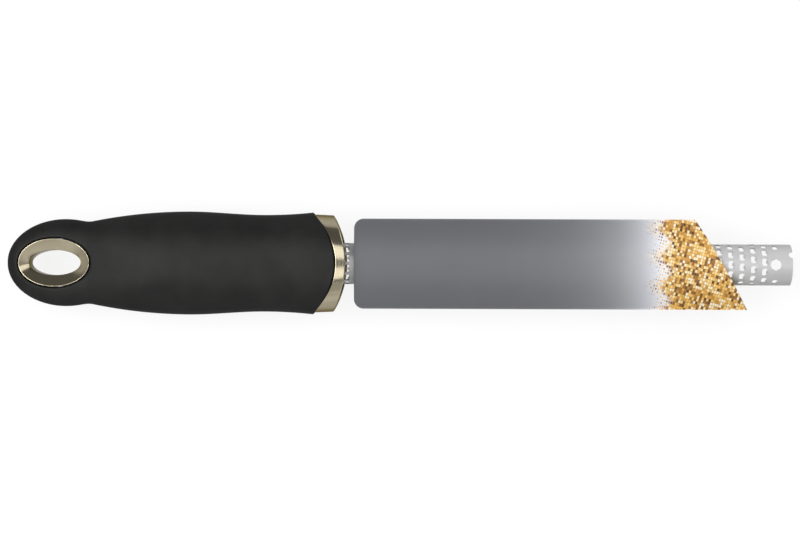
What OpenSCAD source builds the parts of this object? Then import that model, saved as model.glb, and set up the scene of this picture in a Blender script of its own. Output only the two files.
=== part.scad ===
// Hand-held spice grater: a half-pipe rasp blade in a soft-grip handle, with a slide-off blade sleeve.
// Stations along the tool are measured from the loop end, heights from the plane of the blade's edges.

/* [Handle outline] */
// Loop end to the nose of the ferrule, along the top
handle_len = 105.6; // [102:0.2:125]
// Length of the loop head
head_len = 36.4; // [34:0.2:40]
// Width of the loop head
head_w = 27.2; // [25:0.1:30]
// Thickness of the loop head
head_h = 14.6; // [13:0.1:17]
// Middle of the head to the neck
neck_run = 6.8; // [5:0.1:9]
// Width that the body starts from at the neck
neck_w = 25.3; // [23:0.1:27]
// Thickness that the body starts from at the neck
neck_h = 15.2; // [14:0.1:18]
// Neck to the widest place
belly_run = 32; // [28:0.5:36]
// Width at the widest place
belly_w = 32.2; // [30:0.1:36]
// Thickness at the widest place
belly_h = 27; // [25:0.1:30]
// Widest place to the waist
waist_run = 23; // [20:0.5:26]
// How much narrower the waist is than the widest place
waist_dip_w = 2; // [0.5:0.1:3.5]
// How much thinner the waist is than the widest place
waist_dip_h = 1.8; // [0.5:0.1:3.5]
// How much narrower the flared front edge of the grip is than the widest place
flare_dip_w = 0.3; // [0:0.1:2]
// How much thinner that edge is than the widest place
flare_dip_h = 0.4; // [0:0.1:2]
// Rounding where the head runs into the body
neck_blend = 1; // [0.5:0.1:2]
// Wall of the soft grip over the core
grip_t = 2.4; // [1.8:0.1:3]

/* [Ferrule] */
// Length of the ferrule along the top
ferrule_len = 3.4; // [2.5:0.1:6]
// How far the grip's front edge bows forward from the sides to the top
grip_bow = 6.7; // [3:0.1:8]
// How far the ferrule's front edge bows forward
nose_bow = 3.7; // [1:0.1:4.5]
// Step down from the grip to the ferrule
ferrule_step = 0.6; // [0.2:0.1:1]
// How much the ferrule closes in towards the front, per side
ferrule_taper = 0.3; // [0:0.1:0.6]
// Rounding of the ferrule's rims
ferrule_round = 0.5; // [0.2:0.1:0.8]
// How far the nose cap sits back inside the ferrule
nose_recess = 0.8; // [0.3:0.1:1.5]
// Nose of the ferrule to the front of the core
nose_depth = 6.1; // [5.7:0.1:7]

/* [Eyelet] */
// Loop end to the rim of the eyelet
eyelet_margin = 4.1; // [3.6:0.1:5]
// Length of the eyelet's rim
eyelet_len = 22.2; // [20:0.1:23]
// Width of the eyelet's rim
eyelet_w = 14.8; // [13:0.1:16]
// Length of the hole through the eyelet
loop_len = 16.4; // [13:0.1:17]
// Width of the hole through the eyelet
loop_w = 7.8; // [6:0.1:8.5]
// Depth of the funnel from the rim to that hole
funnel_depth = 2.2; // [1.5:0.1:3.5]
// Flat on the rim
rim_flat = 0.5; // [0.2:0.1:1]
// How far the rim lies under the grip's surface
rim_sink = 0.2; // [0:0.1:0.5]
// Groove round the eyelet in the grip
rim_groove = 0.4; // [0.2:0.1:0.8]
// Diameter of the pegs that join the two eyelets
eyelet_peg_d = 1.6; // [1.2:0.1:2]
// Length of those pegs
eyelet_peg_len = 2.5; // [1.5:0.1:3]

/* [Blade] */
// Nose of the ferrule to the tip of the blade
blade_out = 138.4; // [125:0.2:160]
// Width of the half-pipe
blade_w = 12.8; // [12:0.1:14]
// Thickness of the sheet
blade_t = 0.5; // [0.4:0.05:0.7]
// Length of the tang inside the core
tang_len = 27; // [20:0.5:30]
// Distance between tooth rows
tooth_pitch = 3.5; // [3.2:0.1:5]
// Angle between the teeth of a row
tooth_angle = 26.2; // [25:0.1:40]
// Turn from each row to the next
tooth_shift = 6.55; // [0:0.05:13]
// Angle of a tooth of the first row from the crown
tooth_phase = 12.2; // [0:0.1:26]
// Most that a tooth lies from the crown
tooth_reach = 73; // [50:1:76]
// Nose of the ferrule to the first row
tooth_start = 0.3; // [0.3:0.1:4]
// Diameter of the round side of an opening
tooth_d = 2.4; // [2:0.1:2.6]
// Length of an opening along the blade
tooth_open = 1.6; // [1.3:0.1:1.8]
// Height of the cutting lip over the sheet
lip_h = 0.45; // [0.2:0.05:0.6]
// Reach of the lip over its opening
lip_len = 0.9; // [0.5:0.05:1]
// Width of the lip
lip_w = 1.3; // [0.8:0.1:1.6]
// Thickness of the lip at its root
lip_t = 0.25; // [0.15:0.05:0.35]
// Thickness of the lip at its cutting edge
lip_edge = 0.08; // [0.05:0.01:0.15]
// Diameter of the round hole near the tip
tip_hole_d = 3.5; // [2.5:0.1:4]
// Middle of that hole to the tip
tip_hole_in = 5.2; // [4:0.1:6]
// Diameter of the notch in the tip edge
tip_notch_d = 2.2; // [1.5:0.1:3]
// Angle of the notch from the crown
tip_notch_angle = 25; // [10:1:40]

/* [Core] */
// Diameter of the cross pin
pin_d = 2.4; // [2:0.1:2.8]
// Front of the core to the pin
pin_in = 2.3; // [2:0.1:3]
// How far the pin's ends lie under the core's surface
pin_sink = 0.3; // [0.1:0.1:1]
// Wall round the pockets of the core
core_wall = 2.4; // [1.8:0.1:3]
// Ribs between those pockets
rib_t = 4; // [3.6:0.1:6]
// Neck to the first pocket
pocket_start = 8; // [6:0.5:10]
// Number of pockets
pockets = 3; // [2:1:4]
// Diameter of the locating pegs
core_peg_d = 2.2; // [1.6:0.1:2.6]
// Length of the locating pegs
core_peg_len = 4; // [2:0.1:5]

/* [Sleeve] */
// Width over the sealed edges
sleeve_w = 28; // [27:0.1:32]
// Thickness of one sheet
sleeve_t = 0.5; // [0.4:0.05:0.8]
// Width of a sealed edge
seam_w = 1.6; // [1:0.1:2.5]
// Height of the sealed edges over the blade's edges
seam_up = 3; // [2.5:0.1:3.5]
// Nose of the ferrule to the sleeve
sleeve_gap = 2.5; // [1.5:0.1:6]
// Length of the sleeve along its short edge
sleeve_len = 106; // [80:0.5:115]
// How much further the long edge reaches
sleeve_slant = 16.2; // [8:0.1:18]
// Radius of the two corners by the handle
sleeve_corner = 3; // [1:0.1:5]

/* [Clearances] */
// Between pieces that are pressed or moulded together
fit_gap = 0.1; // [0.05:0.01:0.2]
// Round pegs and the pin in their bores
peg_gap = 0.05; // [0.02:0.01:0.1]
// Between the sleeve and the blade
slide_gap = 0.3; // [0.25:0.05:0.5]

/* [Hidden] */
$fn = 64;

// Colours
soft_black = "#3b3b3a";
core_black = "#262626";
plated_bronze = "#b3a486";
bare_steel = "#c4c6c8";
printed_grey = "#737577";

// Main stations and the frame
overall_len = handle_len + blade_out;
head_mid = head_len / 2;
neck_x = head_mid + neck_run;
belly_x = neck_x + belly_run;
waist_x = belly_x + waist_run;
waist_w = belly_w - waist_dip_w;
waist_h = belly_h - waist_dip_h;
flare_w = belly_w - flare_dip_w;
flare_h = belly_h - flare_dip_h;
grip_end = handle_len - ferrule_len;
flare_x = grip_end - grip_bow;
core_front = handle_len - nose_depth;
tang_x = core_front - tang_len;
eyelet_x = eyelet_margin + eyelet_len / 2;

// Cross sections: powers of the rounded outline, and how finely it is drawn. A ring's points are even
// in number and not a multiple of four, so that the handle lies on a flat
side_round = 3;
head_section = 3;
body_section = 2.3;
ring_points = 50;
head_rings = 8;
body_rings = 32;
least_ring_step = 0.5;
eyelet_points = 64;

// Blade
blade_r = blade_w / 2;
blade_in = blade_r - blade_t;
lip_top = blade_r + lip_h;
first_row = handle_len + tooth_start;
tip_hole_x = overall_len - tip_hole_in;
// Rows run on to the far side of the round hole
row_count = floor((tip_hole_x + tip_hole_d / 2 - first_row) / tooth_pitch) + 1;
// Openings keep this much sheet to the round hole
tip_web = 0.3;

// Core
pin_x = core_front - pin_in;
pin_z = blade_in / 2;
saddle_r = blade_in - fit_gap;
groove_r = blade_r + fit_gap;
pocket_x = neck_x + pocket_start;
pocket_pitch = (tang_x - core_wall - pocket_x + rib_t) / pockets;

// Sleeve: each sheet is an arc between the seams, past the lips in front and past the edges behind
seam_y = sleeve_w / 2 - seam_w;
front_rise = lip_top + slide_gap - seam_up;
front_r = (pow(seam_y, 2) + pow(front_rise, 2)) / (2 * front_rise);
edge_drop = seam_up + slide_gap;
back_rest = (pow(seam_y, 2) - pow(blade_r, 2) - pow(edge_drop, 2)) / (2 * edge_drop);
back_r = sqrt(pow(seam_y, 2) + pow(back_rest, 2));
back_rise = back_r - back_rest;
sleeve_x = handle_len + sleeve_gap;
// Cutting shapes reach this far past what they cut
past = 1;

// Smooth step from 0 to 1
function ease(t) = let (u = min(1, max(0, t))) u * u * (3 - 2 * u);

// The larger of two values, with the crossing rounded over the range k
function soft_max(a, b, k) = max(a, b) + pow(max(k - abs(a - b), 0), 2) / (4 * k);

// Power that keeps the sign
function signed_pow(v, p) = sign(v) * pow(abs(v), p);

// Half-size of the loop head at station x, on a skin t under the surface
function head_half(x, size, t, power) =
    let (u = min(1, abs(x - head_mid) / (head_mid - t)))
    (size / 2 - t) * pow(1 - pow(u, power), 1 / power);

// Half-size of the body at station x, from the neck over the belly and the waist to the flare
function body_half(x, neck, belly, waist, flare) =
    let (s = min(x, flare_x))
    s < belly_x ? belly / 2 - (belly - neck) / 2 * pow((belly_x - s) / belly_run, 2)
    : s < waist_x ? belly / 2 + (waist - belly) / 2 * ease((s - belly_x) / waist_run)
    : waist / 2 + (flare - waist) / 2 * pow((s - waist_x) / (flare_x - waist_x), 2);

// Head and body together
function half_size(x, t, power, head, neck, belly, waist, flare) =
    x < head_mid ? head_half(x, head, t, power)
    : soft_max(head_half(x, head, t, power), body_half(x, neck, belly, waist, flare) - t, neck_blend);

function half_w(x, t) = half_size(x, t, 2, head_w, neck_w, belly_w, waist_w, flare_w);

function half_h(x, t) = half_size(x, t, side_round, head_h, neck_h, belly_h, waist_h, flare_h);

// Power of the cross section at station x, fuller in the head than in the body
function section(x) = head_section + (body_section - head_section) * ease((x - head_mid) / belly_run);

// Height of the handle's surface over the point x, y
function surface_z(x, y, t) =
    let (n = section(x))
    half_h(x, t) * pow(1 - pow(min(1, abs(y) / half_w(x, t)), n), 1 / n);

// Half-width of the handle's skin at station x and height z
function width_at(x, z, t) =
    let (n = section(x))
    half_w(x, t) * pow(1 - pow(min(1, abs(z) / half_h(x, t)), n), 1 / n);

// One ring of the handle's skin, or its first points, bowed back towards the sides. It has a flat at
// the top and at the bottom, at the full height
function skin_ring(x, bow, t, points = ring_points) =
    [for (i = [0 : points - 1])
        let (a = 360 * i / ring_points)
        let (p = 2 / section(x))
        let (flat = pow(cos(180 / ring_points), p))
        let (c = signed_pow(cos(a), p))
        let (s = signed_pow(sin(a), p))
        let (at = x - bow * c * c)
        [at, half_w(at, t) * c, half_h(at, t) * s / flat]];

// Stations of the rings on a skin t under the surface, without its end point at x = t
function skin_stations(t, end) = concat(
    [for (i = [1 : head_rings]) t + (head_mid - t) * (1 - cos(90 * i / head_rings))],
    [for (i = [1 : body_rings - 1])
        let (x = head_mid + (grip_end - head_mid) * i / body_rings)
        if (x < end - least_ring_step) x],
    [end]);

// Bow of a ring: none up to the waist, full at the front edge of the grip
function ring_bow(x) = grip_bow * ease((x - waist_x) / (grip_end - waist_x));

// Ring of an ellipse about the eyelet's axis
function oval(long, wide) =
    [for (i = [0 : eyelet_points - 1])
        let (a = 360 * i / eyelet_points)
        [eyelet_x + long / 2 * cos(a), wide / 2 * sin(a)]];

// Turn a list back to front
function reversed(list) = [for (i = [len(list) - 1 : -1 : 0]) list[i]];

// Places of the teeth: station and angle from the crown, clear of the round hole
teeth = [for (i = [0 : row_count - 1])
    let (x = first_row + tooth_pitch * i)
    let (start = tooth_phase - tooth_shift * i)
    let (lowest = ceil((-tooth_reach - start) / tooth_angle))
    let (highest = floor((tooth_reach - start) / tooth_angle))
    for (k = [lowest : highest])
        let (angle = start + tooth_angle * k)
        let (apart = norm([x - tip_hole_x, blade_r * angle * PI / 180]))
        if (apart > (tip_hole_d + tooth_d) / 2 + tip_web) [x, angle]];

// Everything is drawn from the loop end and set in the frame: middle of the length, lowest point at 0
module in_frame() translate([-overall_len / 2, 0, belly_h / 2]) children();

// Solid through a chain of rings with equal counts, closed by end points, by flat ends or on itself
module ring_solid(rings, tip = undef, tail = undef, looped = false, bowed_end = false) {
    n = len(rings[0]);
    m = len(rings);
    body = [for (ring = rings) each ring];
    points = concat(body, is_undef(tip) ? [] : [tip], is_undef(tail) ? [] : [tail]);
    tip_i = n * m;
    tail_i = n * m + (is_undef(tip) ? 0 : 1);
    last = n * (m - 1);
    strips = [for (k = [0 : looped ? m - 1 : m - 2]) for (i = [0 : n - 1])
        let (a = k * n, b = ((k + 1) % m) * n, j = (i + 1) % n)
        each [[a + i, b + i, b + j], [a + i, b + j, a + j]]];
    head_end = looped ? []
        : is_undef(tip) ? [[for (i = [0 : n - 1]) i]]
        : [for (i = [0 : n - 1]) [tip_i, i, (i + 1) % n]];
    tail_end = looped ? []
        : !is_undef(tail) ? [for (i = [0 : n - 1]) [last + i, tail_i, last + (i + 1) % n]]
        : !bowed_end ? [[for (i = [n - 1 : -1 : 0]) last + i]]
        : [for (i = [0 : n / 2 - 1])
            let (up = [i, i + 1], down = [(n - i) % n, n - i - 1])
            each concat(
                i > 0 ? [[last + up[1], last + up[0], last + down[0]]] : [],
                i < n / 2 - 1 ? [[last + up[1], last + down[0], last + down[1]]] : [])];
    polyhedron(points, concat(head_end, strips, tail_end));
}

// Upright oval through both faces of the head
module oval_cut(gap) {
    translate([0, 0, -head_h / 2 - past])
        linear_extrude(height = head_h + 2 * past)
            polygon(oval(eyelet_len + 2 * gap, eyelet_w + 2 * gap));
}

// Soft overmould: outer skin, then back along the skin on the core
module grip() {
    outer = [for (x = skin_stations(0, grip_end)) skin_ring(x, ring_bow(x), 0)];
    inner = [for (x = skin_stations(grip_t, grip_end)) skin_ring(x, ring_bow(x), grip_t)];
    in_frame() color(soft_black) difference() {
        ring_solid(concat(outer, reversed(inner)), tip = [0, 0, 0], tail = [grip_t, 0, 0]);
        oval_cut(rim_groove);
    }
}

// Upper half of the core's outline; the lower half is its mirror image
module core_half() {
    t = grip_t + fit_gap;
    half = ring_points / 2 + 1;
    rings = [for (x = skin_stations(t, core_front)) skin_ring(x, 0, t, half)];
    difference() {
        ring_solid(rings, tip = [t, 0, 0]);
        oval_cut(fit_gap);
        core_pockets();
    }
}

// Blind pockets from the split plane, each the largest that leaves the wall at both its ends
module core_pockets() {
    t = grip_t + fit_gap + core_wall;
    for (i = [0 : pockets - 1]) {
        x = pocket_x + pocket_pitch * i;
        long = pocket_pitch - rib_t;
        wide = min(half_w(x, t), half_w(x + long, t)) * cos(45);
        deep = min(half_h(x, t), half_h(x + long, t)) * sin(45);
        translate([x, -wide, -past])
            cube([long, 2 * wide, deep + past]);
    }
}

// Middles of the ribs between the pockets
module at_ribs() {
    for (i = [1 : pockets - 1])
        translate([pocket_x + pocket_pitch * i - rib_t / 2, 0, 0])
            children();
}

// Round bar across the tool at the pin's place
module cross_bar(d, half_len) {
    translate([pin_x, half_len, pin_z])
        rotate([90, 0, 0])
            cylinder(d = d, h = 2 * half_len);
}

// Round bar along the tool
module long_bar(r, from, to) {
    translate([from, 0, 0])
        rotate([0, 90, 0])
            cylinder(r = r, h = to - from);
}

// Upper half: groove for the tang, bore for the pin and sockets for the pegs
module core_upper() {
    in_frame() color(core_black) difference() {
        core_half();
        long_bar(groove_r, tang_x - fit_gap, core_front + past);
        cross_bar(pin_d + 2 * peg_gap, belly_w);
        at_ribs()
            translate([0, 0, -past])
                cylinder(d = core_peg_d + 2 * peg_gap, h = core_peg_len + fit_gap + past);
    }
}

// Lower half: saddle inside the tang, bore for the pin and the pegs
module core_lower() {
    in_frame() color(core_black) {
        difference() {
            union() {
                mirror([0, 0, 1]) core_half();
                long_bar(saddle_r, tang_x, core_front);
            }
            cross_bar(pin_d + 2 * peg_gap, belly_w);
        }
        at_ribs()
            translate([0, 0, -core_wall])
                cylinder(d = core_peg_d, h = core_peg_len + core_wall);
    }
}

// Cross pin, a little short of the core's sides
module tang_pin() {
    reach = width_at(pin_x, pin_z, grip_t + fit_gap) - pin_sink;
    in_frame() color(bare_steel) cross_bar(pin_d, reach);
}

// Ring of the ferrule's skin, inset t from its outer face
function ferrule_ring(x, bow, t) =
    let (front = (x - grip_end) / ferrule_len)
    let (inset = ferrule_step + ferrule_taper * front + t)
    let (flat_ring = skin_ring(flare_x, 0, inset))
    [for (p = flat_ring)
        let (c = p[1] / half_w(flare_x, inset))
        [x - bow * c * c, p[1], p[2]]];

// Ring on the skin of the core, bowed by the same rule
function spigot_ring(x, bow, gap) =
    let (t = grip_t - gap)
    [for (p = skin_ring(flare_x, 0, t))
        let (c = p[1] / half_w(flare_x, t))
        [x - bow * c * c, p[1], p[2]]];

// Plated collar: both rims rounded over a quarter turn outside, straight on the core inside
module ferrule() {
    back = grip_end + fit_gap;
    back_rim = [for (a = [90, 45, 0])
        ferrule_ring(back + ferrule_round * (1 - sin(a)), grip_bow, ferrule_round * (1 - cos(a)))];
    front_rim = [for (a = [0, 45, 90])
        ferrule_ring(handle_len - ferrule_round * (1 - sin(a)), nose_bow, ferrule_round * (1 - cos(a)))];
    bore = [spigot_ring(handle_len, nose_bow, 0), spigot_ring(back, grip_bow, 0)];
    in_frame() color(plated_bronze) ring_solid(concat(back_rim, front_rim, bore), looped = true);
}

// End cap on the core's front, with a half-round slot for the blade
module nose_cap() {
    rings = [
        spigot_ring(core_front + fit_gap, 0, -fit_gap),
        spigot_ring(handle_len - nose_recess, nose_bow, -fit_gap)];
    in_frame() color(core_black) difference() {
        ring_solid(rings, bowed_end = true);
        difference() {
            long_bar(groove_r, core_front - past, handle_len + past);
            long_bar(saddle_r, core_front - 2 * past, handle_len + 2 * past);
            translate([core_front - 2 * past, -belly_w / 2, -belly_h - fit_gap])
                cube([nose_depth + 4 * past, belly_w, belly_h]);
        }
    }
}

// Funnel ring from the split plane up to the grip's surface, with an upright hole under the funnel
module eyelet_ring() {
    foot = [for (p = oval(eyelet_len, eyelet_w)) [p[0], p[1], 0]];
    rim = [for (p = oval(eyelet_len, eyelet_w)) [p[0], p[1], surface_z(p[0], p[1], rim_sink)]];
    lip = [for (i = [0 : eyelet_points - 1])
        let (p = oval(eyelet_len - 2 * rim_flat, eyelet_w - 2 * rim_flat)[i])
        [p[0], p[1], rim[i][2]]];
    throat = [for (i = [0 : eyelet_points - 1])
        let (p = oval(loop_len, loop_w)[i])
        [p[0], p[1], rim[i][2] - funnel_depth]];
    waist = [for (p = throat) [p[0], p[1], 0]];
    ring_solid([foot, rim, lip, throat, waist], looped = true);
}

// Middle of the eyelet's wall at both ends of the oval
module at_eyelet_pegs() {
    for (side = [-1, 1])
        translate([eyelet_x + side * (eyelet_len + loop_len) / 4, 0, 0])
            children();
}

// Front ring with the pegs
module eyelet_front() {
    in_frame() color(plated_bronze) {
        eyelet_ring();
        at_eyelet_pegs()
            translate([0, 0, -eyelet_peg_len])
                cylinder(d = eyelet_peg_d, h = eyelet_peg_len + past);
    }
}

// Rear ring with the bores for the pegs
module eyelet_rear() {
    bore_len = eyelet_peg_len + fit_gap;
    in_frame() color(plated_bronze) difference() {
        mirror([0, 0, 1]) eyelet_ring();
        at_eyelet_pegs()
            translate([0, 0, -bore_len])
                cylinder(d = eyelet_peg_d + 2 * peg_gap, h = bore_len + past);
    }
}

// Children stand on the crown line, turned by an angle towards +Y
module on_blade(x, angle) {
    translate([x, 0, 0])
        rotate([-angle, 0, 0])
            children();
}

// Opening with a round back and a straight front edge
module tooth_opening() {
    translate([0, 0, blade_in - past])
        linear_extrude(height = blade_t + 2 * past)
            intersection() {
                circle(d = tooth_d);
                translate([-tooth_d, -tooth_d])
                    square([tooth_d / 2 + tooth_open, 2 * tooth_d]);
            }
}

// Cutting lip that rises from the straight edge back over the opening
module tooth_lip() {
    edge = tooth_open - tooth_d / 2;
    rotate([90, 0, 0])
        linear_extrude(height = lip_w, center = true)
            polygon([
                [edge + lip_t, blade_r - lip_t],
                [edge + lip_t, blade_r],
                [edge - lip_len, lip_top],
                [edge - lip_len, lip_top - lip_edge]]);
}

// Half-pipe with its teeth, the pin's bore, the round hole and the notch
module blade() {
    in_frame() color(bare_steel) {
        difference() {
            long_bar(blade_r, tang_x, overall_len);
            long_bar(blade_in, tang_x - past, overall_len + past);
            translate([tang_x - past, -blade_w, -blade_w])
                cube([overall_len - tang_x + 2 * past, 2 * blade_w, blade_w]);
            for (t = teeth)
                on_blade(t[0], t[1]) tooth_opening();
            cross_bar(pin_d + 2 * peg_gap, blade_w);
            translate([tip_hole_x, 0, 0])
                cylinder(d = tip_hole_d, h = blade_w);
            on_blade(overall_len, tip_notch_angle)
                cylinder(d = tip_notch_d, h = blade_w);
        }
        for (t = teeth)
            on_blade(t[0], t[1]) tooth_lip();
    }
}

// Plan of the sleeve: round corners by the handle and a slanted far end
module sleeve_plan() {
    y = sleeve_w / 2;
    r = sleeve_corner;
    for (side = [-1, 1])
        translate([sleeve_x + r, side * (y - r)])
            circle(r = r);
    translate([sleeve_x, r - y])
        square([2 * r, sleeve_w - 2 * r]);
    polygon([
        [sleeve_x + r, -y],
        [sleeve_x + sleeve_len + sleeve_slant, -y],
        [sleeve_x + sleeve_len, y],
        [sleeve_x + r, y]]);
}

// One sheet of the sleeve: an arc up from the seam plane, with flat sealed edges
module sleeve_sheet(radius, rise) {
    long = sleeve_len + sleeve_slant + 2 * past;
    intersection() {
        linear_extrude(height = rise + sleeve_t + past) sleeve_plan();
        translate([sleeve_x - past, 0, 0]) union() {
            difference() {
                translate([0, 0, rise - radius])
                    long_bar(radius + sleeve_t, 0, long);
                translate([0, 0, rise - radius])
                    long_bar(radius, -past, long + past);
                translate([-past, -radius - past, -2 * radius])
                    cube([long + 2 * past, 2 * (radius + past), 2 * radius]);
            }
            for (side = [-1, 1])
                translate([0, side * (sleeve_w - seam_w) / 2 - seam_w / 2, 0])
                    cube([long, seam_w, sleeve_t]);
        }
    }
}

// Front sheet, over the teeth
module sleeve_front() {
    in_frame() color(printed_grey) translate([0, 0, seam_up]) sleeve_sheet(front_r, front_rise);
}

// Back sheet, under the open side of the blade
module sleeve_back() {
    in_frame() color(printed_grey) translate([0, 0, seam_up])
        mirror([0, 0, 1]) sleeve_sheet(back_r, back_rise);
}

grip();
core_upper();
core_lower();
ferrule();
nose_cap();
eyelet_front();
eyelet_rear();
blade();
tang_pin();
sleeve_front();
sleeve_back();
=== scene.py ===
"""Looks of a hand-held spice grater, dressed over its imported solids.

Shapes are worked out in millimetres: s runs along the tool from the loop end, y across it, and z up
from the plane of the blade's edges. A mesh is set into the frame of the solids, in metres, when it is made.
"""

import logging
import math
from dataclasses import dataclass
from enum import Enum
from typing import Any

import bmesh
import bpy
import numpy as np
from mathutils import Matrix, Vector


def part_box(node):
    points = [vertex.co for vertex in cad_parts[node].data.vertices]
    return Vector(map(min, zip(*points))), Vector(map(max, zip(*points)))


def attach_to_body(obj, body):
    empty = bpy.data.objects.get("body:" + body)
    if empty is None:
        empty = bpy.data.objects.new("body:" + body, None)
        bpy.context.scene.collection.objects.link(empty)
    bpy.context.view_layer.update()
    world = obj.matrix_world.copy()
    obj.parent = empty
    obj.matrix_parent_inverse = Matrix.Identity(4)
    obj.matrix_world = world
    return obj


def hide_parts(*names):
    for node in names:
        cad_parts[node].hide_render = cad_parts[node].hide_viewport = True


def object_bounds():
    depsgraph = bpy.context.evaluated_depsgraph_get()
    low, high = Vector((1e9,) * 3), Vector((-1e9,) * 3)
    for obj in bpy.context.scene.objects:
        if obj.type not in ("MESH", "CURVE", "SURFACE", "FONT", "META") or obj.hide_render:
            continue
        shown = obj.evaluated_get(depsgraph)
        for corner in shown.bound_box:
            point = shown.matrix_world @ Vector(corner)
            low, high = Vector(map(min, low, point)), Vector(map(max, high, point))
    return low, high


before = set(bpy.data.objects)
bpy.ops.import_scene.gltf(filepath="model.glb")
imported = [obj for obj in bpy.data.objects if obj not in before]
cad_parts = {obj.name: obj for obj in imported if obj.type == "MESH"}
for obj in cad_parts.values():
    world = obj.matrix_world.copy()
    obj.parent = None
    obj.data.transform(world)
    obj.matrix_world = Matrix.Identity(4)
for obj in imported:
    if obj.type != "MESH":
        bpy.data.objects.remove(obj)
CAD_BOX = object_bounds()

LOG = logging.getLogger("spice_grater")
MM = 0.001
WELD = 1e-7
TINY = 1e-6
SHEET_DIGITS = 4
DISPLAY_POWER = 2.2
NOISE_MIDDLE = 0.5
NOISE_SPAN = (0.3, 0.7)

Array = np.ndarray
Colour = tuple[float, float, float]
Vector3 = tuple[float, float, float]
Stops = tuple[tuple[float, Colour], ...]


class Body(Enum):
    """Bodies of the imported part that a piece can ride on."""

    HANDLE = "handle"
    SLEEVE = "sleeve"


class Slot(Enum):
    """Material slots of the part's record."""

    GRIP = "soft_grip"
    CORE = "core_plastic"
    TRIM = "plated_trim"
    STEEL = "blade_steel"
    PRINT = "sleeve_print"
    PLAIN = "sleeve_plain"


def ease(t: Array) -> Array:
    """Smooth step from 0 to 1: three squares less two cubes of t held between 0 and 1."""
    u = np.clip(t, 0, 1)
    return u * u * (3 - 2 * u)


def soft_max(a: Array, b: Array, k: float) -> Array:
    """The larger of two values, with the crossing rounded by a parabola over the range k."""
    return np.maximum(a, b) + np.maximum(k - np.abs(a - b), 0) ** 2 / (4 * k)


def signed_power(v: Array, p: Array | float) -> Array:
    """Power p of the size of v, with the sign of v."""
    return np.sign(v) * np.abs(v) ** p


def round_over(d: Array, r: float) -> Array:
    """Drop of a quarter-round edge of radius r at the distance d from it: r less the circle's height."""
    reach = np.clip(r - d, 0, r)
    return r - np.sqrt(r * r - reach * reach)


def cosine_steps(start: float, stop: float, count: int) -> Array:
    """Values from start to stop that lie closer at both ends, spaced as a half-turn's cosine."""
    return start + (stop - start) * (1 - np.cos(np.linspace(0, math.pi, count))) / 2


def grid_quads(index: Array) -> Array:
    """Quads of a grid of point numbers, one for each cell between its rows and columns."""
    corners = [index[:-1, :-1], index[1:, :-1], index[1:, 1:], index[:-1, 1:]]
    return np.stack(corners, axis=-1).reshape(-1, 4)


def slab_quads(rows: int, cols: int) -> Array:
    """Quads of a closed slab between two grids of one size: the upper grid, the lower one and the rim.

    Args:
        rows: Rows of each grid.
        cols: Columns of each grid.

    Returns:
        Point numbers of the quads, where the upper grid's points come first.
    """
    upper = np.arange(rows * cols).reshape(rows, cols)
    rim = np.concatenate([upper[0, :-1], upper[:-1, -1], upper[-1, :0:-1], upper[:0:-1, 0]])
    ahead = np.roll(rim, -1)
    below = rows * cols
    walls = np.stack([rim, ahead, ahead + below, rim + below], axis=-1)
    return np.vstack([grid_quads(upper), grid_quads(upper)[:, ::-1] + below, walls])


def thicken(sheet: Array, outer: Array, inner: Array, quads: Array) -> tuple[Array, Array]:
    """Closes a pierced sheet: outer face, inner face, and a wall on each edge that just one quad uses.

    Args:
        sheet: Flat coordinates that tell which points are the same, one row for each point.
        outer: Points of the outer face, in the same order.
        inner: Points of the inner face, in the same order.
        quads: Point numbers of the sheet's quads.

    Returns:
        The closed mesh's points and quads.
    """
    flat = np.round(sheet, SHEET_DIGITS)
    _, first, same = np.unique(flat, axis=0, return_index=True, return_inverse=True)
    quads = same.reshape(-1)[quads]
    edges = np.stack([quads, np.roll(quads, -1, axis=1)], axis=-1).reshape(-1, 2)
    _, edge, uses = np.unique(np.sort(edges, axis=1), axis=0, return_inverse=True, return_counts=True)
    rim = edges[uses[edge.reshape(-1)] == 1]
    below = len(first)
    walls = np.hstack([rim[:, ::-1], rim + below])
    return np.vstack([outer[first], inner[first]]), np.vstack([quads, quads[:, ::-1] + below, walls])


def rounded_path(corners: list[tuple[float, float, float]], steps: int) -> Array:
    """Open path through corners, with an arc in place of each inner corner.

    An arc's centre lies on the corner's bisector, at radius / sin(half the corner's angle) from the corner,
    and the arc turns about it from one leg to the other.

    Args:
        corners: Two coordinates and a radius for each corner.
        steps: Points on each arc.

    Returns:
        The path's points, one row for each.
    """
    at = np.array([c[:2] for c in corners])
    path = [at[:1]]
    for k in range(1, len(corners) - 1):
        radius = corners[k][2]
        back = (at[k - 1] - at[k]) / np.linalg.norm(at[k - 1] - at[k])
        on = (at[k + 1] - at[k]) / np.linalg.norm(at[k + 1] - at[k])
        half = math.acos(float(np.clip(back @ on, -1, 1))) / 2
        middle = (back + on) / np.linalg.norm(back + on)
        centre = at[k] + middle * radius / math.sin(half)
        turn = np.linspace(-1, 1, steps)[:, None] * (math.pi / 2 - half)
        side = np.array([-middle[1], middle[0]])
        side = side * math.copysign(1, float(on @ side))
        path.append(centre - radius * (np.cos(turn) * middle - np.sin(turn) * side))
    return np.vstack([*path, at[-1:]])


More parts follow.
